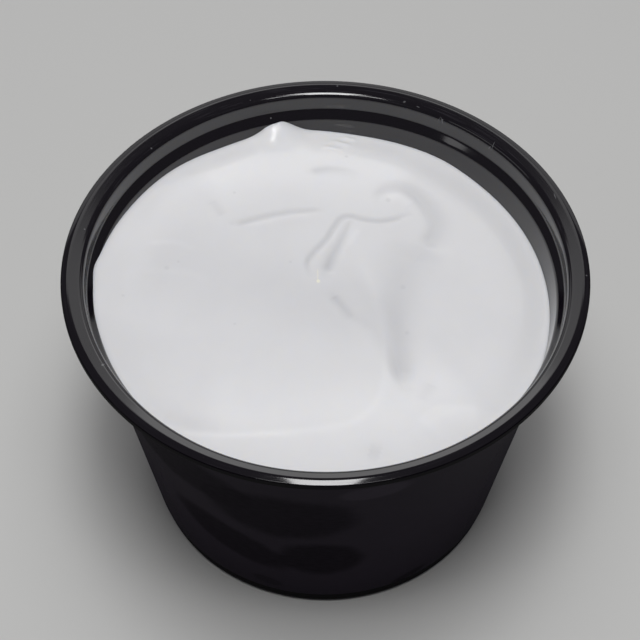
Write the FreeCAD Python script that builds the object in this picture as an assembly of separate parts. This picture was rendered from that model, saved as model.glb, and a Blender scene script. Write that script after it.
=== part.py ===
import FreeCAD, Part

# Sour cream tub: a thin black plastic portion cup, round and tapered, filled with sour cream.
# Millimetres. The cup stands on z = 0, its axis is +Z, and +X is the side where the cream is lowest.
# Two solids, each in its own file: the cup, and the sour cream that fills its cavity.

import math
import os

from FreeCAD import Vector

# ---------------------------------------------------------------- overall sizes

cup_height = 46.8        # foot to the crest of the rim
rim_diameter = 73.5      # across the outer edge of the rim
base_diameter = 52.0     # where the wall's outside would meet the ground
sheet = 0.5              # thickness of the wall and the floor

# ---------------------------------------------------------------- rim

rim_width = 3.15         # outer edge to the mouth's wall
rim_thickness = 0.65     # thickness of the rim's flat part
crest_inset = 0.9        # outer edge to the crest, the rim's highest circle
crest_round = 0.8        # radius over the crest
shoulder_drop = 0.28     # how far the outer shoulder falls from the crest to the edge
edge_round = 0.2         # radius at the shoulder's foot, and at the edge's foot
dish_drop = 0.23         # how far the rim's top falls from the crest towards the mouth
mouth_round = 0.9        # radius of the turn into the mouth
lip_drop = 1.25          # crest to the lower edge of the turned-down lip
lip_width = 0.7          # thickness of that lip
flange_round = 0.4       # radius under the rim, where it springs from the wall

# ---------------------------------------------------------------- stacking ledge

ledge_level = 2.9        # crest to the top of the ledge
ledge_width = 1.05       # how far the ledge steps in
ledge_drop = 1.1         # how far it falls over that width
ledge_round = 0.7        # radius at its top, on the inside
ledge_foot_round = 1.1   # radius at its foot, on the inside
mouth_draft = 0.2        # how far the mouth's wall leans in above the ledge

# ---------------------------------------------------------------- heel and foot

heel_height = 2.8        # smooth band round the bottom of the wall
heel_step = 0.12         # how far that band is set in
heel_round = 1.2         # radius where the band turns under
foot_width = 2.6         # flat ring that the cup stands on
foot_recess = 0.8        # how far the middle of the underside is raised
foot_slope = 0.6         # width of the sloping edge of that recess

# ---------------------------------------------------------------- sour cream

fill_drop = 6.1          # crest of the rim to the cream's mean level at the wall
cream_lean = 1.25        # how far the cream falls to +X and rises to -X, at the wall
dome_rise = 0.2          # how much higher it lies in the middle than at the wall
sag_drop = 0.7           # further fall along the wall on the +X side
sag_turn = 10.0          # direction of the middle of that stretch, in degrees from +X
sag_width = 3.2          # how far in from the wall it starts

# Swellings against the wall: the dollop pulled up at the back, and the smear beside the ledge.
# Each has its direction in degrees from +X, its rise, half its length along the wall, and how
# far it reaches in.
dollop = (103.0, 1.75, 3.2, 2.6)
smear = (173.0, 1.2, 2.6, 2.0)

# Troughs left by the spoon. Each has its path, and its half width and its depth at both ends.
hook = ([(8.0, 18.8), (8.6, 20.3), (11.0, 20.7), (13.6, 18.8), (15.8, 15.4), (15.6, 11.8)],
        (1.2, 2.0), (0.35, 0.5))
valley = ([(14.0, 8.0), (11.2, 3.0), (10.0, -3.0), (10.2, -8.5), (10.6, -13.2)],
          (3.4, 1.3), (0.35, 0.65))
left_crease = ([(-13.0, 12.7), (-9.0, 14.2), (-5.0, 15.4), (-1.4, 15.9)],
               (1.1, 1.1), (0.3, 0.15))
bent_crease = ([(-2.4, 4.4), (-2.2, 6.6), (0.4, 11.0), (2.8, 14.6), (7.4, 14.0), (12.0, 15.1)],
               (1.2, 1.1), (0.3, 0.15))
short_fold = ([(3.4, 12.4), (1.7, 8.4), (0.4, 4.4)], (1.1, 1.3), (0.15, 0.3))
middle_dent = ([(1.6, -1.0), (3.2, -3.8), (7.4, -8.8)], (1.2, 1.2), (0.25, 0.1))
troughs = [hook, valley, left_crease, bent_crease, short_fold, middle_dent]

surface_step = 1.5       # spacing of the points that the cream's top is drawn through

# ---------------------------------------------------------------- worked out from the sizes

rim_radius = rim_diameter / 2
base_radius = base_diameter / 2
mouth_radius = rim_radius - rim_width
ledge_top = cup_height - ledge_level
ledge_foot = ledge_top - ledge_drop
ledge_radius = mouth_radius - mouth_draft
wall_slope = (ledge_radius - ledge_width + sheet - base_radius) / ledge_foot
wall_across = sheet * math.hypot(1, wall_slope)
ledge_offset = sheet * math.tan(math.atan2(ledge_width, ledge_drop) / 2)
recess_radius = base_radius - heel_step - heel_round - foot_width


def outer_wall(height):
    """Radius of the wall's outside at a height."""
    return base_radius + wall_slope * height


def inner_wall(height):
    """Radius of the wall's inside at a height."""
    return outer_wall(height) - wall_across


# ---------------------------------------------------------------- turned outlines

def corner_arc(before, corner, after):
    """Start, middle and end of the arc that rounds a corner, with no middle if it is sharp."""
    here = Vector(corner[0], 0, corner[1])
    rounding = corner[2]
    if rounding == 0:
        return here, None, here
    back = (Vector(before[0], 0, before[1]) - here).normalize()
    onward = (Vector(after[0], 0, after[1]) - here).normalize()
    half_angle = back.getAngle(onward) / 2
    reach = rounding / math.tan(half_angle)
    middle = (back + onward).normalize() * (rounding / math.sin(half_angle) - rounding)
    return here + back * reach, here + middle, here + onward * reach


def turned(corners):
    """Solid turned about the axis from a closed outline of corners (radius, height, rounding)."""
    arcs = []
    for i, corner in enumerate(corners):
        arcs.append(corner_arc(corners[i - 1], corner, corners[(i + 1) % len(corners)]))
    edges = []
    for i, (start, middle, end) in enumerate(arcs):
        end_before = arcs[i - 1][2]
        edges.append(Part.LineSegment(end_before, start).toShape())
        if middle is not None:
            edges.append(Part.Arc(start, middle, end).toShape())
    outline = Part.Face(Part.Wire(edges))
    return outline.revolve(Vector(0, 0, 0), Vector(0, 0, 1), 360)


def underside_corners():
    """The foot, from the middle of the recess out to the ring and round the heel."""
    heel_radius = base_radius - heel_step
    return [
        (0, foot_recess, 0),
        (recess_radius - foot_slope, foot_recess, sheet),
        (recess_radius, 0, 0),
        (heel_radius, 0, heel_round),
        (outer_wall(heel_height) - heel_step, heel_height, 0),
        (outer_wall(heel_height + heel_step), heel_height + heel_step, 0),
    ]


def outer_corners():
    """The wall's outside above the heel, the ledge seen from outside, and the rim."""
    flange_level = cup_height - dish_drop - rim_thickness
    edge_foot = cup_height - lip_drop
    return [
        (outer_wall(ledge_foot - ledge_offset), ledge_foot - ledge_offset, ledge_foot_round - sheet),
        (ledge_radius + sheet, ledge_top - ledge_offset, ledge_round + sheet),
        (mouth_radius + sheet, flange_level, flange_round),
        (rim_radius - lip_width, flange_level, 0),
        (rim_radius - lip_width, edge_foot, 0),
        (rim_radius, edge_foot, edge_round),
        (rim_radius, cup_height - shoulder_drop, edge_round),
        (rim_radius - crest_inset, cup_height, crest_round),
    ]


def cavity_corners():
    """The cup's inside, from the top of the mouth's wall down to the middle of the floor."""
    step_radius = recess_radius + ledge_offset
    return [
        (mouth_radius, cup_height - dish_drop, mouth_round),
        (ledge_radius, ledge_top, ledge_round),
        (inner_wall(ledge_foot), ledge_foot, ledge_foot_round),
        (inner_wall(sheet), sheet, heel_round - sheet),
        (step_radius, sheet, 0),
        (step_radius - foot_slope, foot_recess + sheet, 0),
        (0, foot_recess + sheet, 0),
    ]


# ---------------------------------------------------------------- the cream's top

def trough_depth(x, y, path, half_widths, depths):
    """Depth of a trough at a place: a rounded groove along its path that changes to its end."""
    lengths = [math.dist(a, b) for a, b in zip(path, path[1:])]
    nearest = math.inf
    share = 0.0
    done = 0.0
    for (ax, ay), (bx, by), length in zip(path, path[1:], lengths):
        along = ((x - ax) * (bx - ax) + (y - ay) * (by - ay)) / length ** 2
        along = min(max(along, 0.0), 1.0)
        away = math.hypot(x - ax - along * (bx - ax), y - ay - along * (by - ay))
        if away < nearest:
            nearest = away
            share = (done + along * length) / sum(lengths)
        done += length
    half_width = half_widths[0] + share * (half_widths[1] - half_widths[0])
    depth = depths[0] + share * (depths[1] - depths[0])
    return depth * math.exp(-(nearest / half_width) ** 2)


def swelling_rise(x, y, level_radius, swelling):
    """Rise of a rounded swelling that leans against the wall."""
    turn, rise, half_length, reach = swelling
    direction = math.radians(turn)
    inward = level_radius - x * math.cos(direction) - y * math.sin(direction)
    along = y * math.cos(direction) - x * math.sin(direction)
    return rise * math.exp(-(along / half_length) ** 2 - (inward / reach) ** 2)


def cream_level(x, y):
    """Height of the cream's top at a place."""
    level = cup_height - fill_drop
    level_radius = inner_wall(level)
    from_axis = math.hypot(x, y)
    off_middle = math.radians(sag_turn) - math.atan2(y, x)
    sag = max(0.0, math.cos(off_middle)) * math.exp(-((level_radius - from_axis) / sag_width) ** 2)
    level -= cream_lean * x / level_radius
    level += dome_rise * (1 - (from_axis / level_radius) ** 2)
    level -= sag_drop * sag
    for trough in troughs:
        level -= trough_depth(x, y, *trough)
    for swelling in (dollop, smear):
        level += swelling_rise(x, y, level_radius, swelling)
    return level


def below_cream_top():
    """Everything under the cream's uneven top, as wide as the cup."""
    steps = math.ceil(mouth_radius / surface_step) + 1
    places = [i * surface_step for i in range(-steps, steps + 1)]
    top = Part.BSplineSurface()
    top.interpolate([[Vector(x, y, cream_level(x, y)) for y in places] for x in places])
    return top.toShape().extrude(Vector(0, 0, -cup_height))


# ---------------------------------------------------------------- the two pieces

def cup():
    return turned(underside_corners() + outer_corners() + cavity_corners())


def sour_cream():
    """The cavity up to the mouth's wall, cut off along the cream's top."""
    corners = cavity_corners()
    brim = (mouth_radius, cup_height - dish_drop, 0)
    axis_at_brim = (0, cup_height - dish_drop, 0)
    cavity = turned([axis_at_brim, brim] + corners[1:])
    return cavity.common(below_cream_top())


os.makedirs("parts", exist_ok=True)
for name, shape in (("cup", cup()), ("sour_cream", sour_cream())):
    solid = shape.Solids[0]
    print(name, len(shape.Solids), "solid, valid", solid.isValid(), "volume", round(solid.Volume, 1))
    shape.exportStep("parts/" + name + ".step")
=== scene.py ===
"""Looks for a sour cream tub: a thin black plastic portion cup and the sour cream in it.

Lengths are in metres and places are in the CAD frame: the cup stands on z = 0, its axis is +Z, and
+X is the side where the cream is lowest. The tables of marks and smudges are in millimetres.
"""

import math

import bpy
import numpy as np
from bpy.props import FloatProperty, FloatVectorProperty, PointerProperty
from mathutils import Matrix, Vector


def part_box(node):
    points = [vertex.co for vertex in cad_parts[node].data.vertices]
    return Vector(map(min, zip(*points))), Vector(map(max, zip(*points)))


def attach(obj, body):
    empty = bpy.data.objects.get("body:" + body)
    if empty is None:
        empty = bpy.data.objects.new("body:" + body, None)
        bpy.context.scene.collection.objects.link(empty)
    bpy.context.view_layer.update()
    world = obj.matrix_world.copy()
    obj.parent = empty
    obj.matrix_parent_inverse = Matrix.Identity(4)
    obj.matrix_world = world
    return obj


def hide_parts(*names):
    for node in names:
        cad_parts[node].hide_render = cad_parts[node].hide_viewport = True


bl_info = {
    "name": "Sour Cream Tub",
    "version": (1, 0, 0),
    "blender": (4, 5, 0),
    "location": "3D View > Sidebar > Tub",
    "description": "Builds a black portion cup filled with sour cream",
    "category": "Object",
}

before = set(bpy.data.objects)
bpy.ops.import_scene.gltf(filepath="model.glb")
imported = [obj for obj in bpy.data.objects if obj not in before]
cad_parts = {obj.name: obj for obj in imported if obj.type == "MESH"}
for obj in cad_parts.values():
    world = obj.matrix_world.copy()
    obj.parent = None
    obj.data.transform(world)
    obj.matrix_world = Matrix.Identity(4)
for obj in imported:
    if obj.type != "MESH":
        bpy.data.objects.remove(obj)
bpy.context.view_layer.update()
CUP_LOW, CUP_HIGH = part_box("cup")

MM = 0.001


# ---------------------------------------------------------------- settings

def length(name, description, default):
    """A size, in metres."""
    return FloatProperty(
        name=name, description=description, default=default, unit="LENGTH", precision=5)


def share(name, description, default):
    """A number from 0 to 1."""
    return FloatProperty(
        name=name, description=description, default=default, subtype="FACTOR", min=0, max=1)


def power(name, description, default):
    """A lamp's power, in watts."""
    return FloatProperty(name=name, description=description, default=default, unit="POWER")


def colour(name, description, default):
    """A linear red, green and blue."""
    return FloatVectorProperty(
        name=name, description=description, default=default, subtype="COLOR", size=3, min=0, max=1)


class CupSettings(bpy.types.PropertyGroup):
    """Sizes and finish of the black plastic cup."""

    rim_diameter: length(
        "Rim diameter", "Across the outer edge of the rim", CUP_HIGH.x - CUP_LOW.x)
    height: length("Height", "Foot to the crest of the rim", CUP_HIGH.z - CUP_LOW.z)
    base_diameter: length(
        "Base diameter", "Where the wall's outside would meet the ground", 52.0 * MM)
    sheet: length("Sheet", "Thickness of the wall and the floor", 0.5 * MM)
    rim_width: length("Rim width", "Outer edge of the rim to the mouth's wall", 3.15 * MM)
    rim_thickness: length("Rim thickness", "Thickness of the rim's flat part", 0.65 * MM)
    crest_inset: length("Crest inset", "Outer edge of the rim to its highest circle", 0.9 * MM)
    shoulder_drop: length(
        "Shoulder drop", "Fall of the outer shoulder from the crest to the edge", 0.28 * MM)
    dish_drop: length(
        "Dish drop", "Fall of the rim's top from the crest towards the mouth", 0.23 * MM)
    lip_drop: length("Lip drop", "Crest to the lower edge of the turned-down lip", 1.25 * MM)
    lip_width: length("Lip width", "Thickness of the turned-down lip", 0.7 * MM)
    ledge_level: length("Ledge level", "Crest to the top of the stacking ledge", 2.9 * MM)
    ledge_width: length("Ledge width", "How far the ledge steps in", 1.05 * MM)
    ledge_drop: length("Ledge drop", "How far it falls over that width", 1.1 * MM)
    heel_height: length("Heel height", "Smooth band round the bottom of the wall", 2.8 * MM)
    heel_step: length("Heel step", "How far that band is set in", 0.12 * MM)
    foot_width: length("Foot width", "Flat ring that the cup stands on", 2.6 * MM)
    foot_recess: length("Foot recess", "How far the middle of the underside is raised", 0.8 * MM)
    plastic: colour("Plastic", "Colour of the black plastic", (0.0044, 0.0032, 0.0056))
    satin: share("Satin", "Roughness under the gloss", 0.42)
    rim_gloss: share("Rim gloss", "Strength of the gloss on the rim and the inside", 1.0)
    wall_gloss: share("Wall gloss", "Strength of the gloss on the wall's outside", 0.09)


class CreamSettings(bpy.types.PropertyGroup):
    """Shape and finish of the sour cream."""

    fill_drop: length(
        "Fill drop", "Crest of the rim to the cream's mean level at the wall", 6.1 * MM)
    lean: length("Lean", "Fall of the cream towards +X and rise towards -X, at the wall", 1.25 * MM)
    dome: length("Dome", "How much higher the cream lies in the middle", 0.2 * MM)
    sag: length("Sag", "Further fall along the wall on the +X side", 0.7 * MM)
    cling: length("Cling", "How far the cream climbs where it meets the wall", 0.12 * MM)
    body: colour("Cream", "Colour of the sour cream", (0.80, 0.80, 0.815))
    # Painted shade: the colour that the cream's hollows, thin edges and pits are painted towards.
    hollow: colour(
        "Hollows", "Colour that its hollows and thin edges shade to", (0.50, 0.505, 0.53))
    roughness: share("Roughness", "Roughness of the cream under its wet skin", 0.5)
    skin: share("Skin", "Strength of the gloss of its wet skin", 0.75)


class StageSettings(bpy.types.PropertyGroup):
    """Floor, lamps and camera."""

    floor: colour("Floor", "Colour of the floor", (0.62, 0.62, 0.61))
    lens: FloatProperty(
        name="Lens", description="Focal length on a 36 mm sensor", default=113.7, unit="CAMERA")
    key: power("Key lamp", "Power of the long lamp high above the front, and of its wing", 1.2)
    soft: power("Soft lamp", "Power of the large lamp overhead, which gives no highlight", 1.62)
    side: power("Side lamp", "Power of the low lamp at the left", 0.075)
    back: power("Back lamp", "Power of the wide low lamp behind the tub", 0.6)
    high: power("High lamp", "Power of the lamp above that one, and of the small one at it", 0.23)
    surround: share("Surround", "Strength of the even light all round", 0.08)


# ---------------------------------------------------------------- fixed sizes

MERGED = 0.001 * MM      # points nearer than this become one
LEVELLED = 0.01 * MM     # heights that differ by less than this are one level
SMALLEST = 1e-9          # stands for the radius of a point on the axis in a division

CUP_STEPS = 288          # faces round the cup
CREAM_STEPS = 480        # faces round the cream
CREAM_RINGS = 150        # rings of faces from the middle of the cream's top to its edge
SUPPORTED = 0.6 * MM     # a run of the cup's outline that is longer gets a point near each end
SUPPORT = 0.12 * MM      # how far that point is from the end
CUP_SHARP = math.radians(40)      # edges that turn by more than this stay sharp
CREAM_SHARP = math.radians(50)

# Depths below the cream's edge of the rings on its side: those that follow the edge up and down,
# and those that stay level.
EDGE_DEPTHS = [0.3 * MM, 0.7 * MM, 1.2 * MM]
SIDE_DEPTHS = [6 * MM, 20 * MM]

MOUTH_DRAFT = 0.2 * MM   # how far the mouth's wall leans in above the ledge
FOOT_SLOPE = 0.6 * MM    # width of the sloping edge of the recess under the foot

# Radii of the cup's corners.
ROUND = {
    "recess": 0.4 * MM,
    "foot": 0.15 * MM,
    "heel": 1.2 * MM,
    "band": 0.04 * MM,
    "band step": 0.06 * MM,
    "ledge foot outside": 0.6 * MM,
    "ledge outside": 1.2 * MM,
    "under the rim": 0.4 * MM,
    "lip": 0.15 * MM,
    "edge": 0.2 * MM,
    "crest": 1.4 * MM,
    "mouth": 0.9 * MM,
    "ledge": 0.7 * MM,
    "ledge foot": 1.1 * MM,
    "floor": 0.7 * MM,
}

# The mouth, the ledge and the upper wall are drawn a little out of round on one side. The rim's
# edge and the lower wall stay round.
DRAWN_BY = 0.62 * MM     # how far, at the middle of that side
DRAWN_TURN = 283         # direction of that middle, in degrees from +X
DRAWN_SPREAD = 62        # degrees to each side over which it fades
DRAWN_FROM = 12 * MM     # height where it starts
DRAWN_OVER = 26 * MM     # height over which it grows
DRAWN_INSET = 1.0 * MM   # the rim's edge to where the rim starts to be drawn
DRAWN_FADE = 1.9 * MM    # how much further in it is drawn as far as the wall

SAG_TURN = 10            # direction of the middle of the cream's sag, in degrees from +X
SAG_WIDTH = 3.2 * MM     # how far in from the wall the sag starts
CLING_WIDTH = 0.4 * MM   # how far in from the wall the cream starts to climb
EDGE_SHADE = 0.3         # how much painted shade darkens the cream where it meets the wall
EDGE_SHADE_WIDTH = 0.5 * MM
BACK_LIGHT = 0.3         # how much painted light makes the cream paler along the far wall
BACK_LIGHT_WIDTH = 5.0 * MM
OVERLAP = 0.04 * MM      # how far the cream's side is sunk into the cup, so that no gap shows
EDGE_ONLY = 8            # how sharply the widening of the cream's top is kept to its edge

MARK_END = 0.12          # share of a mark's length over which each of its ends fades
MARK_END_LEFT = 0.25     # share of the mark that is left at its very end

EVEN_TONE = 0.25         # value of the painted light-and-shade attribute where the cream has its plain colour; lower is painted light, higher painted shade
TONE_REACH = 0.5         # how far a painted shade of 1 moves that value


# ---------------------------------------------------------------- outlines and turning

def corner_points(before, corner, after, steps=6):
    """Points of the arc that rounds a corner given as (radius, height, rounding)."""
    here = Vector(corner[:2])
    rounding = corner[2]
    if rounding == 0:
        return [here]
    back = (Vector(before[:2]) - here).normalized()
    onward = (Vector(after[:2]) - here).normalized()
    half_angle = back.angle(onward) / 2
    centre = here + (back + onward).normalized() * (rounding / math.sin(half_angle))
    start = here + back * (rounding / math.tan(half_angle)) - centre
    end = here + onward * (rounding / math.tan(half_angle)) - centre
    sweep = start.angle(end)
    points = []
    for i in range(steps + 1):
        part = i / steps
        across = start * math.sin((1 - part) * sweep) + end * math.sin(part * sweep)
        points.append(centre + across / math.sin(sweep))
    return points


def rounded_outline(corners):
    """Points of an outline whose first and last corners lie on the axis."""
    points = [Vector(corners[0][:2])]
    for before, corner, after in zip(corners, corners[1:], corners[2:]):
        points += corner_points(before, corner, after)
    return points + [Vector(corners[-1][:2])]


def with_supports(points, reach, limit):
    """The outline with extra points near both ends of each run that is longer than limit."""
    supported = [points[0]]
    for start, end in zip(points, points[1:]):
        run = end - start
        if run.length > limit:
            step = run.normalized() * reach
            supported += [start + step, end - step]
        supported.append(end)
    return supported


def turn(name, points, steps):
    """A closed solid turned about the Z axis from an outline that begins and ends on the axis."""
    bpy.ops.object.select_all(action="DESELECT")
    start = points[0]
    bpy.ops.mesh.primitive_plane_add(size=MM, location=(start.x, 0, start.y))
    piece = bpy.context.object
    piece.name = name
    bpy.ops.object.transform_apply(location=True)
    bpy.ops.object.mode_set(mode="EDIT")
    bpy.ops.mesh.select_all(action="SELECT")
    bpy.ops.mesh.merge(type="CENTER")
    for here, there in zip(points, points[1:]):
        move = (there.x - here.x, 0, there.y - here.y)
        bpy.ops.mesh.extrude_region_move(TRANSFORM_OT_translate={"value": move})
    bpy.ops.object.mode_set(mode="OBJECT")
    bpy.ops.object.modifier_add(type="SCREW")
    turning = piece.modifiers[-1]
    turning.axis = "Z"
    turning.angle = math.tau
    turning.steps = turning.render_steps = steps
    turning.use_merge_vertices = True
    turning.merge_threshold = MERGED
    bpy.ops.object.modifier_apply(modifier=turning.name)
    bpy.ops.object.mode_set(mode="EDIT")
    bpy.ops.mesh.select_all(action="SELECT")
    bpy.ops.mesh.remove_doubles(threshold=MERGED)
    bpy.ops.mesh.normals_make_consistent(inside=False)
    bpy.ops.object.mode_set(mode="OBJECT")
    return piece


def eased(part):
    """A smooth change from 0 to 1 while the part goes from 0 to 1."""
    return part * part * (3 - 2 * part)


def read_points(piece):
    """Places of a mesh's points, a row for each."""
    spots = np.empty(len(piece.data.vertices) * 3)
    piece.data.vertices.foreach_get("co", spots)
    return spots.reshape(-1, 3)


def write_points(piece, spots):
    """Move a mesh's points to the places given, a row for each."""
    piece.data.vertices.foreach_set("co", spots.ravel())
    piece.data.update()


def add_attribute(piece, name, values):
    """Give each of a mesh's points a number that its material reads."""
    attribute = piece.data.attributes.new(name, "FLOAT", "POINT")
    attribute.data.foreach_set("value", values)


def on_outside(form, heights, radius):
    """Which points of the cup lie on its outside, below the rim's shoulder."""
    cup = form.cup
    heel_turn = 1.5 * MM
    shoulder_foot = cup.height - 0.25 * MM
    flange = cup.height - 0.7 * MM
    ground = 0.4 * MM
    levels = [0, heel_turn, form.ledge_foot, form.ledge_top, cup.height]
    middles_of_sheet = [
        form.base - 0.6 * MM,
        form.outer(heel_turn) - 0.3 * MM,
        form.outer(form.ledge_foot) - 0.22 * MM,
        form.ledge + 0.3 * MM,
        form.mouth + 0.25 * MM,
    ]
    outside = radius > np.interp(heights, levels, middles_of_sheet)
    outside &= heights < np.where(radius > form.rim - 0.8 * MM, shoulder_foot, flange)
    outside |= heights < ground
    outside |= (heights < cup.foot_recess + 0.2 * MM) & (radius < form.recess)
    return outside


def draw_mouth(piece, form):
    """Draw the upper part of the cup out of round, but not the rim's edge.

    The cup's outside is told apart first, for the plastic's finish.
    """
    spots = read_points(piece)
    heights = spots[:, 2]
    radius = np.linalg.norm(spots[:, :2], axis=1)
    add_attribute(piece, "outer", on_outside(form, heights, radius).astype(float))
    inward = np.clip((form.rim - DRAWN_INSET - radius) / DRAWN_FADE, 0, 1)
    push = form.draw(np.arctan2(spots[:, 1], spots[:, 0]), heights) * inward
    spots[:, :2] *= (1 + push / np.maximum(radius, SMALLEST))[:, None]
    write_points(piece, spots)


def place(piece, node, material):
    """Let a finished piece stand for its CAD node."""
    piece.data.materials.clear()
    piece.data.materials.append(material)
    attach(piece, "root")
    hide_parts(node)


# ---------------------------------------------------------------- the cup's form

class CupForm:
    """Radii and heights that the cup's outline and the cream are drawn from."""

    def __init__(self, cup):
        self.cup = cup
        self.rim = cup.rim_diameter / 2
        self.base = cup.base_diameter / 2
        self.mouth = self.rim - cup.rim_width
        self.ledge = self.mouth - MOUTH_DRAFT
        self.ledge_top = cup.height - cup.ledge_level
        self.ledge_foot = self.ledge_top - cup.ledge_drop
        self.slope = (self.ledge - cup.ledge_width + cup.sheet - self.base) / self.ledge_foot
        self.across = cup.sheet * math.hypot(1, self.slope)
        self.offset = cup.sheet * math.tan(math.atan2(cup.ledge_width, cup.ledge_drop) / 2)
        self.recess = self.base - cup.heel_step - ROUND["heel"] - cup.foot_width

    def outer(self, height):
        """Radius of the wall's outside at a height."""
        return self.base + self.slope * height

    def inner(self, height):
        """Radius of the wall's inside at a height."""
        return self.outer(height) - self.across

    def draw(self, turned, heights):
        """How far the wall is drawn out of round, at turns in radians and heights."""
        off_middle = (np.degrees(turned) - DRAWN_TURN + 180) % 360 - 180
        level = np.clip((heights - DRAWN_FROM) / DRAWN_OVER, 0, 1)
        return DRAWN_BY * np.exp(-(off_middle / DRAWN_SPREAD) ** 4) * eased(level)

    def underside(self):
        """Corners of the foot, from the middle of the recess out and round the heel."""
        cup = self.cup
        band_top = cup.heel_height + cup.heel_step
        return [
            (0, cup.foot_recess, 0),
            (self.recess - FOOT_SLOPE, cup.foot_recess, ROUND["recess"]),
            (self.recess, 0, ROUND["foot"]),
            (self.base - cup.heel_step, 0, ROUND["heel"]),
            (self.outer(cup.heel_height) - cup.heel_step, cup.heel_height, ROUND["band"]),
            (self.outer(band_top), band_top, ROUND["band step"]),
        ]

    def outside(self):
        """Corners of the wall's outside, the ledge seen from outside, and the rim."""
        cup = self.cup
        flange = cup.height - cup.dish_drop - cup.rim_thickness
        edge_foot = cup.height - cup.lip_drop
        low = self.ledge_foot - self.offset
        return [
            (self.outer(low), low, ROUND["ledge foot outside"]),
            (self.ledge + cup.sheet, self.ledge_top - self.offset, ROUND["ledge outside"]),
            (self.mouth + cup.sheet, flange, ROUND["under the rim"]),
            (self.rim - cup.lip_width, flange, ROUND["lip"]),
            (self.rim - cup.lip_width, edge_foot, ROUND["lip"]),
            (self.rim, edge_foot, ROUND["edge"]),
            (self.rim, cup.height - cup.shoulder_drop, ROUND["edge"]),
            (self.rim - cup.crest_inset, cup.height, ROUND["crest"]),
        ]

    def inside(self):
        """Corners of the cup's inside, from the mouth down to the middle of the floor."""
        cup = self.cup
        step = self.recess + self.offset
        return [
            (self.mouth, cup.height - cup.dish_drop, ROUND["mouth"]),
            (self.ledge, self.ledge_top, ROUND["ledge"]),
            (self.inner(self.ledge_foot), self.ledge_foot, ROUND["ledge foot"]),
            (self.inner(cup.sheet), cup.sheet, ROUND["floor"]),
            (step, cup.sheet, 0),
            (step - FOOT_SLOPE, cup.foot_recess + cup.sheet, 0),
            (0, cup.foot_recess + cup.sheet, 0),
        ]

    def reach(self, heights):
        """Radius of the cup's inside at heights between the heel and the rim."""
        corners = [(self.rim, self.cup.height, 0)] + self.inside()[:4]
        points = []
        for before, corner, after in zip(corners, corners[1:], corners[2:]):
            points += corner_points(before, corner, after)
        points = [Vector(corners[-1][:2])] + points[::-1]
        return np.interp(heights, [point.y for point in points], [point.x for point in points])

    def drawn_reach(self, turned, heights):
        """Radius of the cup's inside at turns and heights once it is drawn out of round."""
        return self.reach(heights) + self.draw(turned, heights)


# ---------------------------------------------------------------- the cream's form

# Marks left by the spoon. Each has its path over the cream in millimetres and, at its start and at
# its end, how far it reaches to the left of the path, how far to the right, its depth, and how
# much painted shade it adds to the cream.
MARKS = {
    "hook": (
        [(7.4, 17.8), (7.9, 19.5), (9.4, 20.5), (11.6, 20.5), (13.4, 19.0), (15.0, 16.4),
         (15.8, 14.0), (15.5, 11.6), (14.2, 9.0)],
        (0.5, 2.6), (0.6, 1.2), (0.1, 0.3), (0.3, 0.42)),
    "valley": (
        [(13.8, 9.6), (12.2, 5.0), (10.8, 0.6), (10.0, -4.0), (9.9, -9.0), (10.3, -13.4),
         (10.8, -16.4)],
        (4.0, 1.6), (4.6, 0.8), (0.22, 0.58), (0.1, 0.65)),
    "left crease": (
        [(-13.4, 12.4), (-9.8, 13.8), (-6.4, 14.9), (-3.2, 15.4), (-0.4, 15.7)],
        (0.5, 0.42), (0.46, 0.36), (0.2, 0.08), (0.42, 0.25)),
    "bent crease": (
        [(-2.2, 3.4), (-2.6, 5.4), (-1.7, 7.5), (0.0, 9.9), (1.2, 12.4), (2.3, 14.2), (3.6, 14.7),
         (5.4, 14.2), (7.6, 13.9), (9.6, 14.3), (12.2, 15.3)],
        (0.44, 0.4), (0.46, 0.4), (0.18, 0.16), (0.42, 0.44)),
    "short fold": (
        [(3.8, 14.4), (2.9, 11.4), (1.8, 8.6), (0.9, 6.6), (0.0, 3.6)],
        (0.4, 0.9), (0.5, 0.85), (0.05, 0.24), (0.2, 0.6)),
    "dent": (
        [(1.0, -0.4), (2.2, -2.2), (3.8, -4.6)],
        (0.7, 0.7), (0.7, 0.7), (0.12, 0.08), (0.4, 0.25)),
    "long dent": (
        [(3.4, -4.2), (6.2, -6.4), (8.4, -9.6)],
        (1.2, 0.9), (1.2, 0.9), (0.05, 0.05), (0.08, 0.06)),
    "back dent": (
        [(-2.4, 23.3), (1.0, 23.9), (5.2, 23.0)],
        (0.5, 0.6), (0.6, 1.2), (0.1, 0.03), (0.5, 0.1)),
    "left scuff": (
        [(-16.8, 16.8), (-15.0, 13.9)],
        (0.8, 0.8), (0.8, 0.8), (0.05, 0.05), (0.2, 0.2)),
    "near dimple": (
        [(5.8, -26.8), (7.4, -27.2)],
        (1.3, 1.3), (1.3, 1.3), (0.1, 0.1), (0.3, 0.3)),
    "near stroke": (
        [(14.6, -15.6), (13.0, -18.6)],
        (0.9, 0.9), (0.9, 0.9), (0.06, 0.04), (0.25, 0.12)),
    "near fold": (
        [(-22.0, -22.2), (-17.5, -23.6), (-13.6, -24.0)],
        (1.6, 1.6), (0.8, 0.8), (0.06, 0.06), (0.14, 0.14)),
    # Mostly painted shade: a dark band along the right wall, over a slight dip.
    "band at the wall": (
        [(9.0, 28.2), (14.0, 25.8), (18.4, 22.6), (22.2, 18.8), (26.2, 12.6), (28.6, 4.0),
         (28.8, -5.0), (26.6, -14.0)],
        (2.2, 1.6), (2.6, 2.2), (0.05, 0.03), (0.12, 0.04)),
    # Mostly painted shade along the far left wall.
    "back band": (
        [(-27.4, 12.0), (-22.5, 19.4), (-15.0, 25.2)],
        (1.4, 1.4), (1.6, 1.6), (0.03, 0.03), (0.1, 0.1)),
    # Painted shade over a broad shallow dip across the middle.
    "broad hollow": (
        [(-27.0, 4.0), (-12.0, 1.0), (2.0, -2.0), (9.0, 1.0)],
        (9.0, 8.0), (9.0, 7.0), (0.25, 0.15), (0.3, 0.26)),
}
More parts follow.
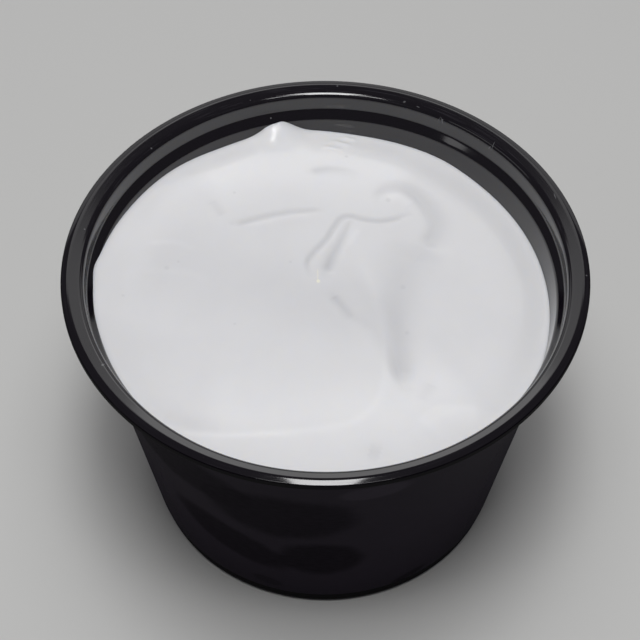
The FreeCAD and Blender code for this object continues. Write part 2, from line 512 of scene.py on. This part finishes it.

# Low ridges between the marks, set out in the same way, with their rise for depth and how much
# painted light they add to the cream.
RIDGES = {
    "long arc": (
        [(4.6, 8.0), (6.6, 1.0), (8.1, -6.0), (8.5, -12.0), (7.4, -18.0), (4.0, -22.2),
         (-2.0, -23.9), (-9.0, -24.6), (-14.0, -25.4)],
        (1.2, 0.5), (0.8, 0.4), (0.05, 0.03), (0.1, 0.14)),
    "beside the hook": (
        [(9.0, 18.4), (10.8, 18.8), (12.6, 17.2)],
        (0.8, 0.8), (1.2, 1.2), (0.05, 0.05), (0.2, 0.2)),
    "beside the fold": (
        [(4.8, 12.2), (3.4, 8.8)],
        (0.5, 0.5), (0.5, 0.5), (0.03, 0.03), (0.14, 0.14)),
    "below the crease": (
        [(-11.0, 12.3), (-6.0, 13.9), (-2.0, 14.7)],
        (0.4, 0.4), (0.6, 0.6), (0.03, 0.02), (0.16, 0.1)),
    "near spark": (
        [(-19.4, -24.6), (-15.6, -24.9), (-12.2, -24.9), (-4.0, -24.6)],
        (0.35, 0.35), (0.35, 0.35), (0.025, 0.02), (0.2, 0.12)),
    "right sweep": (
        [(12.6, -22.4), (15.6, -19.9), (21.0, -19.6)],
        (0.7, 0.7), (2.6, 2.6), (0.04, 0.03), (0.25, 0.2)),
    "dollop glint": (
        [(-9.2, 30.5), (-7.6, 30.7)],
        (0.4, 0.4), (0.4, 0.4), (0.12, 0.12), (0.1, 0.1)),
    "glint one": (
        [(1.1, 29.8), (3.6, 29.2)],
        (0.36, 0.36), (0.36, 0.36), (0.17, 0.17), (0.1, 0.1)),
    "glint two": (
        [(-0.1, 28.5), (2.5, 27.9)],
        (0.36, 0.36), (0.36, 0.36), (0.15, 0.15), (0.1, 0.1)),
    "glint three": (
        [(2.4, 31.0), (4.4, 30.5)],
        (0.34, 0.34), (0.34, 0.34), (0.15, 0.15), (0.1, 0.1)),
    "left ripple": (
        [(-25.5, 8.4), (-21.6, 8.7), (-18.4, 7.2)],
        (0.5, 0.5), (0.5, 0.5), (0.02, 0.015), (0.16, 0.06)),
    "left ripple below": (
        [(-26.0, 3.2), (-20.0, 3.2), (-16.4, 1.4)],
        (0.7, 0.7), (0.7, 0.7), (0.015, 0.01), (0.08, 0.06)),
    # Mostly painted light: paler at the back and at the front, over slight rises.
    "back rise": (
        [(-20.0, 21.0), (-8.0, 25.0), (6.0, 25.0), (14.0, 21.0)],
        (5.0, 5.0), (7.0, 6.0), (0.1, 0.06), (0.4, 0.34)),
    "near rise": (
        [(-18.0, -20.0), (-4.0, -22.0), (10.0, -20.0), (20.0, -14.0)],
        (7.0, 7.0), (6.0, 6.0), (0.1, 0.1), (0.26, 0.42)),
}

# How the cream rises and falls along the wall. Each swelling has its direction in degrees from +X,
# its rise, half its length along the wall and its reach inward, all in millimetres, then how
# squarely it ends and how much painted shade it adds.
SWELLINGS = {
    "dollop": (102.8, 1.5, 3.1, 2.2, 2.6, 0.0),
    # Painted shade on the dollop's thin tip.
    "dollop tip": (101.6, 0.3, 1.2, 0.9, 2, 0.3),
    "left rise": (182.0, 0.98, 18.0, 3.2, 2, 0.0),
    "smear": (175.6, 0.3, 2.4, 1.6, 2, 0.0),
    "right rise": (57.0, 0.28, 5.0, 2.6, 2, 0.0),
    "back dip": (82.0, -0.3, 5.5, 2.6, 2, 0.0),
    "dip by the dollop": (120.0, -0.42, 5.5, 2.6, 2, 0.0),
}


def smooth_path(points, parts=10):
    """A curve through the points, as a polyline with parts pieces between two points."""
    ends = [2 * points[0] - points[1]] + list(points) + [2 * points[-1] - points[-2]]
    curve = []
    for a, b, c, d in zip(ends, ends[1:], ends[2:], ends[3:]):
        for i in range(parts):
            t = i / parts
            curve.append(0.5 * (2 * b + (c - a) * t + (2 * a - 5 * b + 4 * c - d) * t ** 2
                                + (3 * b - a - 3 * c + d) * t ** 3))
    return np.array(curve + [points[-1]])


def near_path(places, path):
    """How far each place lies to the left of the path, and how far along it, from 0 to 1."""
    steps = np.diff(path, axis=0)
    lengths = np.linalg.norm(steps, axis=1)
    starts = np.concatenate([[0], np.cumsum(lengths)])
    nearest = np.full(len(places), np.inf)
    leftward = np.zeros(len(places))
    along = np.zeros(len(places))
    for start, step, run, done in zip(path, steps, lengths, starts):
        offset = places - start
        part = np.clip(offset @ step / run ** 2, 0, 1)
        away = np.linalg.norm(offset - part[:, None] * step, axis=1)
        closer = away < nearest
        side = np.where(step[0] * offset[:, 1] > step[1] * offset[:, 0], 1.0, -1.0)
        nearest[closer] = away[closer]
        leftward[closer] = side[closer] * away[closer]
        along[closer] = (done + part[closer] * run) / starts[-1]
    return leftward, along


def mark_effect(places, points, left, right, depths, shades):
    """Depth and painted shade of a mark at each place, rounded across and faded at both its ends;
    for a ridge, its rise and painted light.
    """
    path = smooth_path(np.array(points) * MM)
    leftward, along = near_path(places, path)
    left_reach = (left[0] + along * (left[1] - left[0])) * MM
    right_reach = (right[0] + along * (right[1] - right[0])) * MM
    reach = np.where(leftward > 0, left_reach, right_reach)
    across = np.exp(-(leftward / reach) ** 2)
    ends = np.clip(np.minimum(along, 1 - along) / MARK_END, 0, 1)
    across *= MARK_END_LEFT + (1 - MARK_END_LEFT) * eased(ends)
    depth = (depths[0] + along * (depths[1] - depths[0])) * MM
    shade = shades[0] + along * (shades[1] - shades[0])
    return depth * across, shade * across


def swelling(places, wall, turn_degrees, rise, half_length, reach, squareness, shade):
    """Rise and painted shade of a swelling that leans against the wall."""
    direction = math.radians(turn_degrees)
    out = np.array([math.cos(direction), math.sin(direction)])
    along_wall = np.array([-out[1], out[0]])
    along = np.abs(places @ along_wall) / (half_length * MM)
    inward = (wall - places @ out) / (reach * MM)
    share_left = np.exp(-along ** squareness - inward ** 2)
    return rise * MM * share_left, shade * share_left


def cream_levels(places, form, cream):
    """Height of the cream's top at each place, and the painted shade there, negative where it is
    painted light.
    """
    level = form.cup.height - cream.fill_drop
    wall = form.inner(level)
    from_axis = np.linalg.norm(places, axis=1)
    turned = np.arctan2(places[:, 1], places[:, 0])
    levels = level - cream.lean * places[:, 0] / wall
    levels += cream.dome * (1 - (from_axis / wall) ** 2)
    from_wall = wall - from_axis
    sagging = np.maximum(0, np.cos(turned - math.radians(SAG_TURN)))
    levels -= cream.sag * sagging * np.exp(-(from_wall / SAG_WIDTH) ** 2)
    levels += cream.cling * np.exp(-from_wall / CLING_WIDTH)
    # Painted shade along the edge where the cream meets the wall, and painted light along the far
    # wall.
    at_back = np.maximum(0, np.sin(turned))
    shades = EDGE_SHADE * np.exp(-(from_wall / EDGE_SHADE_WIDTH) ** 2)
    shades -= BACK_LIGHT * np.exp(-(from_wall / BACK_LIGHT_WIDTH) ** 2) * at_back
    # Each mark adds painted shade, each ridge painted light, each swelling painted shade.
    for mark in MARKS.values():
        depth, shade = mark_effect(places, *mark)
        levels -= depth
        shades += shade
    for ridge in RIDGES.values():
        rise, light = mark_effect(places, *ridge)
        levels += rise
        shades -= light
    for each in SWELLINGS.values():
        rise, shade = swelling(places, wall, *each)
        levels += rise
        shades += shade
    return levels, np.clip(shades * TONE_REACH + EVEN_TONE, 0, 1)


def shape_top(piece, form, cream):
    """Work the flat top into the cream's level, with its edge and the rings below on the wall."""
    level = form.cup.height - cream.fill_drop
    wall = form.inner(level)
    spots = read_points(piece)
    from_axis = np.linalg.norm(spots[:, :2], axis=1)
    outward = spots[:, :2] / np.maximum(from_axis, SMALLEST)[:, None]
    turned = np.arctan2(outward[:, 1], outward[:, 0])
    edge_heights, painted_tones = cream_levels(outward * wall, form, cream)
    edge_reach = form.drawn_reach(turned, edge_heights) + OVERLAP

    top = spots[:, 2] > level - LEVELLED
    heights, painted_tones[top] = cream_levels(spots[top, :2], form, cream)
    stretch = 1 + (edge_reach - wall) / wall * (from_axis / wall) ** EDGE_ONLY
    spots[top, :2] *= stretch[top, None]
    spots[top, 2] = heights
    for depth in EDGE_DEPTHS:
        ring = np.abs(spots[:, 2] - (level - depth)) < LEVELLED
        ring &= ~top
        spots[ring, 2] = edge_heights[ring] - depth
        reach = form.drawn_reach(turned[ring], spots[ring, 2]) + OVERLAP
        spots[ring, :2] = outward[ring] * reach[:, None]
    # Painted light and shade of each point, for the cream's material.
    add_attribute(piece, "hollow", painted_tones)
    write_points(piece, spots)


# ---------------------------------------------------------------- materials

class Socket:
    """An output of a node that takes part in arithmetic."""

    def __init__(self, shader, output):
        self.shader = shader
        self.output = output

    def math(self, operation, *others):
        """A Math node that starts from this value."""
        inputs = dict(enumerate((self,) + others))
        return self.shader.add("Math", {"operation": operation}, inputs)

    def __add__(self, other):
        return self.math("ADD", other)

    __radd__ = __add__

    def __mul__(self, other):
        return self.math("MULTIPLY", other)

    __rmul__ = __mul__

    def __sub__(self, other):
        return self.math("SUBTRACT", other)

    def __rsub__(self, other):
        return self.shader.add("Math", {"operation": "SUBTRACT"}, {0: other, 1: self})

    def __truediv__(self, other):
        return self.math("DIVIDE", other)

    def __pow__(self, other):
        return self.math("POWER", other)


class Shader:
    """The node tree of one material."""

    def __init__(self, name):
        self.material = bpy.data.materials.new(name)
        self.material.use_nodes = True
        self.tree = self.material.node_tree
        self.tree.nodes.clear()

    def add(self, kind, settings=None, inputs=None, output=0):
        """Any node: its type, its settings, and the values or links of its sockets."""
        node = self.tree.nodes.new("ShaderNode" + kind)
        for name, value in (settings or {}).items():
            if name == "stops":
                set_stops(node.color_ramp, value)
            else:
                setattr(node, name, value)
        for key, value in (inputs or {}).items():
            if isinstance(value, Socket):
                self.tree.links.new(value.output, node.inputs[key])
            else:
                node.inputs[key].default_value = value
        return Socket(self, node.outputs[output]) if node.outputs else None

    def ramp(self, value, low, high, start=0.0, end=1.0):
        """A smooth change from start to end while the value goes from low to high."""
        settings = {"interpolation_type": "SMOOTHSTEP"}
        inputs = {"Value": value, "From Min": low, "From Max": high, "To Min": start, "To Max": end}
        return self.add("MapRange", settings, inputs)

    def mix(self, factor, first, second):
        """A colour between two colours."""
        return self.add("Mix", {"data_type": "RGBA"}, {0: factor, 6: first, 7: second}, output=2)

    def noise(self, vector, scale, detail=2.0, roughness=0.5):
        """Soft noise about 0.5, with its scale in waves to a metre."""
        inputs = {"Vector": vector, "Scale": scale, "Detail": detail, "Roughness": roughness}
        return self.add("TexNoise", None, inputs)

    def axes(self, vector):
        """The three parts of a vector."""
        first = self.add("SeparateXYZ", None, {0: vector})
        return [Socket(self, output) for output in first.output.node.outputs]

    def patch(self, across, up, middle, half_sizes, tilt_degrees, ragged, edge):
        """A tilted oval patch on a flat pair of coordinates: 1 inside and 0 outside."""
        tilt = math.radians(tilt_degrees)
        across = across - middle[0] * MM
        up = up - middle[1] * MM
        long_way = (across * math.cos(tilt) + up * math.sin(tilt)) / (half_sizes[0] * MM)
        short_way = (up * math.cos(tilt) - across * math.sin(tilt)) / (half_sizes[1] * MM)
        distance = (long_way * long_way + short_way * short_way) ** 0.5
        return self.ramp(distance + ragged, 1.0 + edge, 1.0 - edge)

    def finish(self, surface):
        """Show the surface, and hand back the material."""
        self.add("OutputMaterial", None, {"Surface": surface})
        return self.material


def set_stops(ramp, stops):
    """Give a colour ramp its stops, as (position, colour)."""
    while len(ramp.elements) > 1:
        ramp.elements.remove(ramp.elements[-1])
    ramp.elements[0].position, ramp.elements[0].color = stops[0]
    for position, stop_colour in stops[1:]:
        ramp.elements.new(position).color = stop_colour


def opaque(rgb):
    """The colour with an alpha of 1."""
    return (*rgb, 1.0)


MEAN_RADIUS = 30.0       # of the wall, in millimetres, for distances round it
SCRATCH_COLOUR = (0.05, 0.047, 0.055, 1)
LINT_COLOUR = (0.25, 0.25, 0.26, 1)
CRUMB_AND_GLINT_COLOUR = (0.95, 0.93, 0.8, 1)

# Smudges that fingers left on the wall's outside. Each has its distance round the wall from the
# front and its height, half its length, half its width, its tilt in degrees, and its strength.
SMUDGES = [
    ((-22.0, 34.6), (11.5, 5.2), -12, 0.85),
    ((-6.0, 29.6), (10.5, 6.4), 6, 0.9),
    ((-14.5, 16.8), (9.4, 4.4), -24, 0.95),
    ((-0.5, 16.4), (6.0, 5.2), -4, 1.0),
    ((-9.5, 5.6), (2.6, 1.3), -10, 0.5),
    ((14.5, 4.0), (3.4, 0.9), 14, 0.8),
    ((6.4, 38.0), (4.5, 1.8), 4, -0.8),
]

# Lint and specks on the rim and the inside. Each has its place as seen from above, half its length,
# half its width and its tilt in degrees.
LINT = [
    ((15.4, 29.6), (0.9, 0.05), -24),
    ((16.5, 28.9), (0.5, 0.05), 38),
    ((17.3, 28.7), (0.55, 0.05), -62),
    ((24.5, 23.5), (0.5, 0.05), 62),
    ((23.9, 23.5), (0.3, 0.06), -12),
    ((32.8, 13.2), (0.5, 0.06), -78),
    ((18.9, 27.2), (0.45, 0.05), -56),
    ((-14.1, 29.9), (0.6, 0.04), 78),
    ((11.7, 32.2), (0.18, 0.14), 20),
    ((13.7, 31.2), (0.24, 0.06), -30),
    ((-34.0, 6.7), (0.12, 0.1), 0),
    ((-30.0, 13.7), (0.12, 0.1), 0),
    ((-29.7, -17.4), (0.22, 0.16), 40),
    ((30.4, 13.2), (0.12, 0.1), 0),
]

# Pits and bubbles in the cream, each with its place and its radius in millimetres.
PITS = [
    (11.0, 1.7, 0.36), (11.4, -6.6, 0.3), (9.2, 18.0, 0.36), (-22.6, 4.0, 0.34),
    (-13.4, 18.6, 0.22), (-28.4, -1.6, 0.22), (-21.0, 5.2, 0.2), (3.1, 26.6, 0.24),
    (-5.0, 5.6, 0.22), (-12.6, -6.0, 0.2),
]


def plastic_material(form, cup):
    """Black plastic: glossy on the rim and the inside, dull and fingered on the wall's outside."""
    shader = Shader("black plastic")
    position = shader.add("TexCoord", output=3)
    x, y, z = shader.axes(position)
    radius = (x * x + y * y) ** 0.5
    turned = x.math("ARCTAN2", y * -1)
    round_wall = turned * MEAN_RADIUS * MM
    outer = shader.add("Attribute", {"attribute_name": "outer"}, output=2)
    below_ledge = shader.ramp(z, form.ledge_top, form.ledge_foot)
    above_heel = shader.ramp(z, cup.heel_height, cup.heel_height + 0.1 * MM)
    wall = outer * below_ledge * above_heel

    # Finger smudges, ragged at their edges and streaked inside.
    ragged = shader.noise(position, 200, 4, 0.55) * 0.36 - 0.18
    streaks = shader.add("CombineXYZ", None, {0: round_wall * 700, 1: z * 2600})
    smear = shader.noise(streaks, 1, 3) * 0.9 + 0.5
    smudge = 0
    for middle, half_sizes, tilt, strength in SMUDGES:
        mark = shader.patch(round_wall, z, middle, half_sizes, tilt, ragged, 0.2)
        smudge = mark * strength + smudge
    smudge = shader.add("Clamp", None, {0: smudge, 1: -0.8, 2: 1.0}) * smear * wall

    # Fine scratches that run round the rim, fewer on the near side.
    place_round = shader.add("CombineXYZ", None, {0: radius * 6500, 1: turned * 3.2, 2: z * 900})
    scratched = shader.ramp(shader.noise(place_round, 1, 3, 0.6), 0.56, 0.66)
    far_half = shader.ramp(y, -6 * MM, 14 * MM, 0.3, 1.0)
    on_rim = shader.ramp(z, cup.height - 0.6 * MM, cup.height - 0.3 * MM)
    scratched = scratched * far_half * on_rim

    # Dust on the rim and the inside, and lint on the rim.
    dust_cell = shader.add("TexVoronoi", {"feature": "F1"}, {"Vector": position, "Scale": 300})
    dust = shader.ramp(dust_cell, 0.05, 0.028)
    lint = dust * (1 - outer)
    near_rim = shader.ramp(z, cup.height - 1.4 * MM, cup.height - 0.9 * MM)
    for middle, half_sizes, tilt in LINT:
        lint = shader.patch(x, y, middle, half_sizes, tilt, 0, 0.5) * near_rim + lint

    # The wall's dullness is a haze over the black, thinner where fingers wiped it.
    cloud = shader.noise(position, 90, 3)
    # Partly painted shade: the outside's black is darker than the inside's, plainest on the heel
    # band that the haze leaves bare; the bare heel is its own smoother finish, its extra darkness
    # stands for the shadowed floor it reflects.
    shaded_black = [part * 0.55 for part in cup.plastic]
    haze = [part * 5.5 for part in cup.plastic]
    hazy = wall * (smudge * -0.36 + 0.56) * (cloud * 0.4 + 0.8)
    tone = shader.mix(outer, opaque(cup.plastic), opaque(shaded_black))
    tone = shader.mix(hazy, tone, opaque(haze))
    tone = shader.mix(scratched * 0.5, tone, SCRATCH_COLOUR)
    tone = shader.mix(lint * 0.4, tone, LINT_COLOUR)

    gloss = outer * (cup.wall_gloss - cup.rim_gloss) - wall * smudge * 0.04 + cup.rim_gloss
    gloss = gloss * (scratched * -0.45 + 1) * (cloud * -0.12 + 1.06)
    relief = shader.noise(position, 5200, 2) * wall + scratched * -0.6
    bump = shader.add("Bump", None, {"Strength": 0.12, "Distance": 0.03 * MM, "Height": relief})
    surface = shader.add("BsdfPrincipled", None, {
        "Base Color": tone,
        "Roughness": wall * (smudge * -0.1) + cup.satin,
        "Specular IOR Level": 0.0,
        "Coat Weight": gloss,
        "Coat Roughness": 0.08,
        "Coat IOR": 1.75,
        "Normal": bump,
    })
    return shader.finish(surface)


def cream_material(cream):
    """Sour cream: pale and soft under a thin wet skin, with painted shade in its hollows and
    painted light on its ridges.
    """
    shader = Shader("sour cream")
    position = shader.add("TexCoord", output=3)
    x, y = shader.axes(position)[:2]
    # Painted light and shade from the cream's shape: lighter than the body below EVEN_TONE, darker
    # towards the shade colour above it.
    hollow = shader.add("Attribute", {"attribute_name": "hollow"}, output=2)
    painted_light = [min(1, part * 1.14) for part in cream.body]
    tone = shader.add("ValToRGB", {"stops": [
        (0.0, opaque(painted_light)),
        (EVEN_TONE, opaque(cream.body)),
        (1.0, opaque(cream.hollow)),
    ]}, {0: hollow})
    cloud = shader.noise(position, 60, 4, 0.55)
    tone = shader.mix(shader.ramp(cloud, 0.35, 0.75, 0.0, 0.1), tone, opaque(cream.hollow))
    # Painted shade in the pits and bubbles, which the bump also sinks.
    pitted = 0
    for pit_x, pit_y, pit_radius in PITS:
        pitted = shader.patch(x, y, (pit_x, pit_y), (pit_radius, pit_radius), 0, 0, 0.6) + pitted
    tone = shader.mix(pitted * 0.2, tone, opaque(cream.hollow))

    # A pale crumb, with the fainter trail that it left, painted bright: partly its own colour,
    # partly a painted glint.
    crumb_and_glint = shader.patch(x, y, (-1.0, 2.2), (0.26, 0.3), 0, 0, 0.3)
    crumb_and_glint = shader.patch(x, y, (-1.1, 3.3), (0.12, 1.1), 0, 0, 0.3) * 0.4 + crumb_and_glint
    tone = shader.mix(crumb_and_glint * 0.8, tone, CRUMB_AND_GLINT_COLOUR)

    relief = shader.noise(position, 420, 4, 0.6) - pitted * 0.5 + crumb_and_glint
    bump = shader.add("Bump", None, {"Strength": 0.16, "Distance": 0.08 * MM, "Height": relief})
    surface = shader.add("BsdfPrincipled", None, {
        "Base Color": tone,
        "Roughness": cream.roughness,
        "IOR": 1.4,
        "Specular IOR Level": 0.3,
        "Subsurface Weight": 1.0,
        "Subsurface Radius": (1.0, 0.95, 0.85),
        "Subsurface Scale": 0.45 * MM,
        "Coat Weight": cream.skin,
        "Coat Roughness": 0.11,
        "Coat IOR": 1.5,
        "Normal": bump,
    })
    return shader.finish(surface)


def floor_material(stage):
    """Plain pale floor."""
    shader = Shader("floor")
    surface = shader.add("BsdfPrincipled", None, {
        "Base Color": opaque(stage.floor),
        "Roughness": 0.9,
        "Specular IOR Level": 0.2,
    })
    return shader.finish(surface)


# ---------------------------------------------------------------- stage

# Each lamp has its turn from +X and its rise in degrees, its distance from the middle of the rim,
# which it points at, its width and depth, the setting for its power, and its share of that power.
LAMPS = {
    "key": (-91, 79, 0.62, 0.12, 0.4, "key", 1),
    "wing": (-90, 74, 0.64, 0.3, 0.09, "key", 0.4),
    "soft": (-90, 87, 0.66, 0.4, 0.4, "soft", 1),
    "side": (190, 38, 0.62, 0.4, 0.06, "side", 1),
    "back": (90, 18, 0.7, 1.3, 0.36, "back", 1),
    "high": (90, 43, 0.7, 0.6, 0.2, "high", 1),
    "high middle": (90, 41.5, 0.66, 0.2, 0.1, "high", 0.2),
}
WITHOUT_HIGHLIGHT = ("soft",)             # lamps that light the tub and aren't mirrored in it

SURROUND_COLOUR = (0.95, 0.93, 1.0, 1.0)
FLOOR_SIZE = 4                           # metres

CAMERA_BACK = 182.0 * MM                 # how far in front of the tub's axis it stands
CAMERA_ABOVE = 214.1 * MM                # how far above the rim
CAMERA_AIM = (-0.75 * MM, 0, 34.7 * MM)  # place in the tub that it looks at
CAMERA_CLIP = 0.01                       # nearest distance that it shows, in metres
SENSOR_WIDTH = 36                        # millimetres


def toward(turn, rise):
    """The direction that lies at a turn from +X and a rise from level, both in degrees."""
    turn, rise = math.radians(turn), math.radians(rise)
    level = math.cos(rise)
    return Vector((math.cos(turn) * level, math.sin(turn) * level, math.sin(rise)))


def add_lamp(name, spot, target, width, depth, watts):
    """A rectangular lamp that points at the target."""
    bpy.ops.object.light_add(type="AREA", location=spot)
    lamp = bpy.context.object
    lamp.name = name
    lamp.rotation_euler = (target - spot).to_track_quat("-Z", "Y").to_euler()
    lamp.data.shape = "RECTANGLE"
    lamp.data.size = width
    lamp.data.size_y = depth
    lamp.data.energy = watts
    return lamp


def add_camera(scene, stage, cup):
    """Camera in front of the tub and well above it."""
    spot = Vector((0, -CAMERA_BACK, cup.height + CAMERA_ABOVE))
    target = Vector(CAMERA_AIM)
    bpy.ops.object.camera_add(location=spot)
    camera = bpy.context.object
    camera.rotation_euler = (target - spot).to_track_quat("-Z", "Y").to_euler()
    camera.data.lens = stage.lens
    camera.data.sensor_width = SENSOR_WIDTH
    camera.data.clip_start = CAMERA_CLIP
    scene.camera = camera


# ---------------------------------------------------------------- operators

class TUB_OT_cup(bpy.types.Operator):
    """Turn the cup from its outline and give it its plastic"""

    bl_idname = "tub.cup"
    bl_label = "Cup"

    def execute(self, context):
        cup = context.scene.tub_cup
        form = CupForm(cup)
        corners = form.underside() + form.outside() + form.inside()
        outline = with_supports(rounded_outline(corners), SUPPORT, SUPPORTED)
        piece = turn("cup_shell", outline, CUP_STEPS)
        draw_mouth(piece, form)
        bpy.ops.object.shade_smooth_by_angle(angle=CUP_SHARP)
        bpy.ops.object.modifier_add(type="WEIGHTED_NORMAL")
        piece.modifiers[-1].keep_sharp = True
        bpy.ops.object.modifier_apply(modifier=piece.modifiers[-1].name)
        place(piece, "cup", plastic_material(form, cup))
        return {"FINISHED"}


class TUB_OT_cream(bpy.types.Operator):
    """Fill the cup with sour cream and work its top into folds"""

    bl_idname = "tub.cream"
    bl_label = "Sour cream"

    def execute(self, context):
        form = CupForm(context.scene.tub_cup)
        cream = context.scene.tub_cream
        level = form.cup.height - cream.fill_drop
        wall = form.inner(level)
        top = [Vector((wall * i / CREAM_RINGS, level)) for i in range(CREAM_RINGS + 1)]
        side_levels = [level - depth for depth in EDGE_DEPTHS + SIDE_DEPTHS]
        side = [Vector((form.inner(height), height)) for height in side_levels]
        floor = rounded_outline([(wall, level, 0)] + form.inside()[3:])[1:]
        piece = turn("cream_fill", top + side + floor, CREAM_STEPS)
        shape_top(piece, form, cream)
        bpy.ops.object.shade_smooth_by_angle(angle=CREAM_SHARP)
        place(piece, "sour_cream", cream_material(cream))
        return {"FINISHED"}


class TUB_OT_stage(bpy.types.Operator):
    """Set up the floor, the lamps and the camera"""

    bl_idname = "tub.stage"
    bl_label = "Stage"

    def execute(self, context):
        stage = context.scene.tub_stage
        cup = context.scene.tub_cup
        bpy.ops.mesh.primitive_plane_add(size=FLOOR_SIZE, location=(0, 0, 0))
        floor = context.object
        floor.name = "floor"
        floor.data.materials.append(floor_material(stage))
        middle = Vector((0, 0, cup.height))
        for name, (turned, rise, distance, width, depth, setting, part) in LAMPS.items():
            spot = middle + toward(turned, rise) * distance
            lamp = add_lamp(name, spot, middle, width, depth, getattr(stage, setting) * part)
            lamp.visible_glossy = name not in WITHOUT_HIGHLIGHT
        world = bpy.data.worlds.new("surround")
        context.scene.world = world
        world.use_nodes = True
        background = world.node_tree.nodes["Background"]
        background.inputs["Color"].default_value = SURROUND_COLOUR
        background.inputs["Strength"].default_value = stage.surround
        add_camera(context.scene, stage, cup)
        context.scene.view_settings.view_transform = "Standard"
        return {"FINISHED"}


# ---------------------------------------------------------------- panel and registration

class TUB_PT_panel(bpy.types.Panel):
    """Tub settings and the buttons that build it"""

    bl_idname = "TUB_PT_panel"
    bl_label = "Sour Cream Tub"
    bl_space_type = "VIEW_3D"
    bl_region_type = "UI"
    bl_category = "Tub"

    def draw(self, context):
        for operator, settings in (
            (TUB_OT_cup, context.scene.tub_cup),
            (TUB_OT_cream, context.scene.tub_cream),
            (TUB_OT_stage, context.scene.tub_stage),
        ):
            box = self.layout.box()
            box.operator(operator.bl_idname)
            for name in settings.__annotations__:
                box.prop(settings, name)


CLASSES = (
    CupSettings,
    CreamSettings,
    StageSettings,
    TUB_OT_cup,
    TUB_OT_cream,
    TUB_OT_stage,
    TUB_PT_panel,
)


def register():
    for each in CLASSES:
        bpy.utils.register_class(each)
    bpy.types.Scene.tub_cup = PointerProperty(type=CupSettings)
    bpy.types.Scene.tub_cream = PointerProperty(type=CreamSettings)
    bpy.types.Scene.tub_stage = PointerProperty(type=StageSettings)


def unregister():
    del bpy.types.Scene.tub_cup
    del bpy.types.Scene.tub_cream
    del bpy.types.Scene.tub_stage
    for each in reversed(CLASSES):
        bpy.utils.unregister_class(each)


def main():
    register()
    bpy.ops.tub.cup()
    bpy.ops.tub.cream()
    bpy.ops.tub.stage()


if __name__ == "__main__":
    main()
